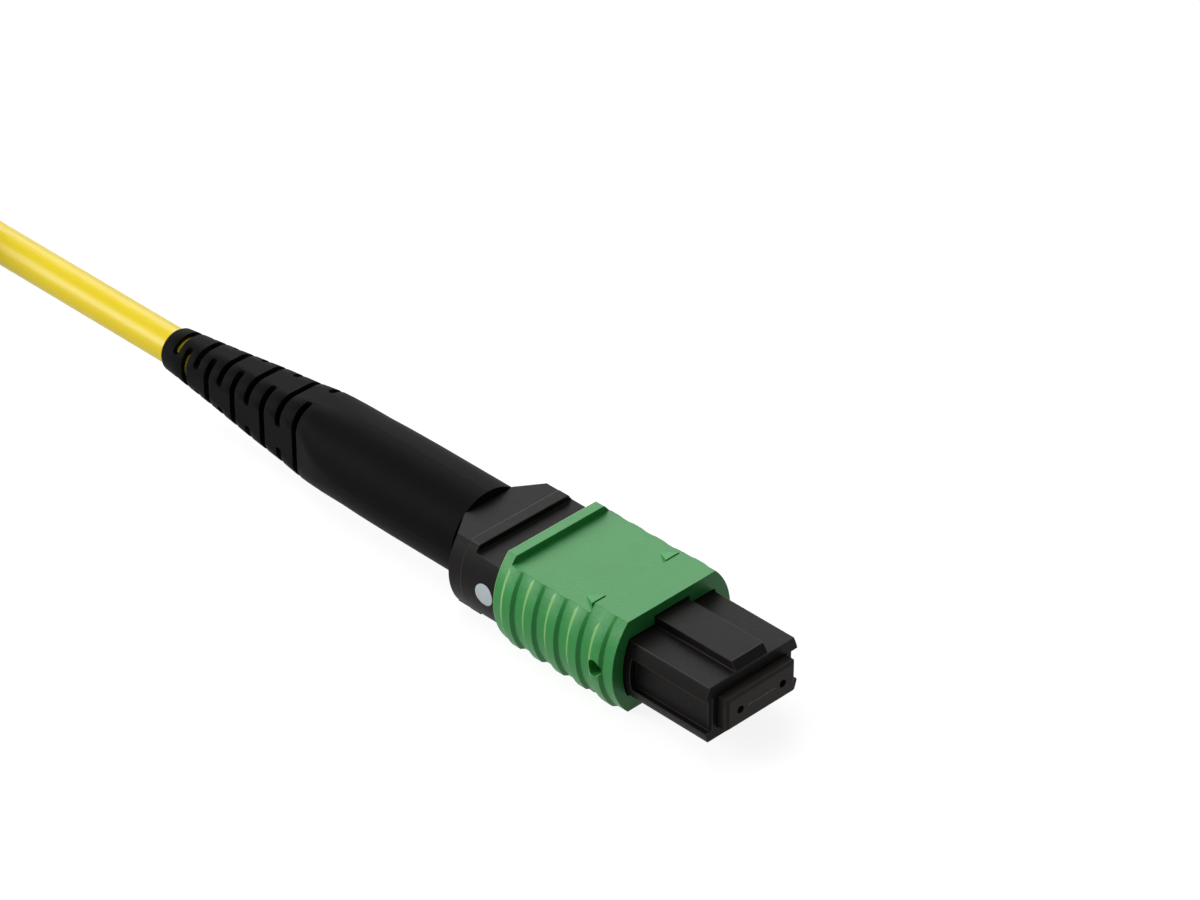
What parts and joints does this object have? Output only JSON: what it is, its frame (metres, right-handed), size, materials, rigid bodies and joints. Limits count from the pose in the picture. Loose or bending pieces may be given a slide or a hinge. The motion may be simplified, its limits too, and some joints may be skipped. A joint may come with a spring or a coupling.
{
  "type": "multi-fibre push-on connector",
  "caption": "Multi-fibre push-on plug with a sprung ferrule, a ribbed sliding coupling sleeve, a slotted strain relief boot and a tied hank of round cable.",
  "frame": {"origin": "middle of the ferrule's end face, between the two guide holes", "axes": "+X out of the mating end along the fibres, +Z towards the keyed side, +Y across the row of fibres"},
  "size_m": [0.1607, 0.0323, 0.0138],
  "materials": {
    "ferrule_resin": "satin moulded",
    "keeper_steel": "plain",
    "guide_rubber": "matte",
    "spring_steel": "bright drawn",
    "black_plastic": "fine matte",
    "dot_paint": "printed",
    "green_plastic": "satin moulded",
    "aramid": "loose yarn",
    "crimp_metal": "plain",
    "boot_rubber": "satin",
    "yellow_jacket": "satin",
    "tie_fabric": "hook and loop",
    "fibre_blue": "coated",
    "fibre_orange": "coated",
    "fibre_green": "coated",
    "fibre_brown": "coated",
    "fibre_slate": "coated",
    "fibre_white": "coated",
    "fibre_red": "coated",
    "fibre_black": "coated",
    "fibre_yellow": "coated",
    "fibre_violet": "coated",
    "fibre_rose": "coated",
    "fibre_aqua": "coated"
  },
  "bodies": {
    "connector_body": {"inner_housing": "black_plastic", "spring_push": "black_plastic", "position_dot": "dot_paint", "crimp_sleeve": "crimp_metal", "aramid_yarn": "aramid", "strain_relief_boot": "boot_rubber", "cable_end": "yellow_jacket", "cable_run": "yellow_jacket", "cable_hank": "yellow_jacket", "hank_tie_left": "tie_fabric", "hank_tie_right": "tie_fabric"},
    "ferrule_group": {"ferrule": "ferrule_resin", "pin_keeper": "keeper_steel", "ferrule_boot": "guide_rubber", "fibre_01_blue": "fibre_blue", "fibre_02_orange": "fibre_orange", "fibre_03_green": "fibre_green", "fibre_04_brown": "fibre_brown", "fibre_05_slate": "fibre_slate", "fibre_06_white": "fibre_white", "fibre_07_red": "fibre_red", "fibre_08_black": "fibre_black", "fibre_09_yellow": "fibre_yellow", "fibre_10_violet": "fibre_violet", "fibre_11_rose": "fibre_rose", "fibre_12_aqua": "fibre_aqua", "main_spring": "spring_steel"},
    "coupling_sleeve": {"coupling_sleeve": "green_plastic", "sleeve_spring_left": "spring_steel", "sleeve_spring_right": "spring_steel"}
  },
  "joints": [
    {"name": "sleeve_slide", "type": "slide", "parent": "connector_body", "child": "coupling_sleeve", "axis": [-1, 0, 0], "range_m": [0, 0.0029], "stiffness_N_per_m": 500, "springref_m": -0.004, "deforming": ["sleeve_spring_left", "sleeve_spring_right"]},
    {"name": "ferrule_slide", "type": "slide", "parent": "connector_body", "child": "ferrule_group", "axis": [-1, 0, 0], "range_m": [0, 0.001], "stiffness_N_per_m": 2500, "springref_m": -0.0032, "deforming": ["main_spring"]}
  ]
}
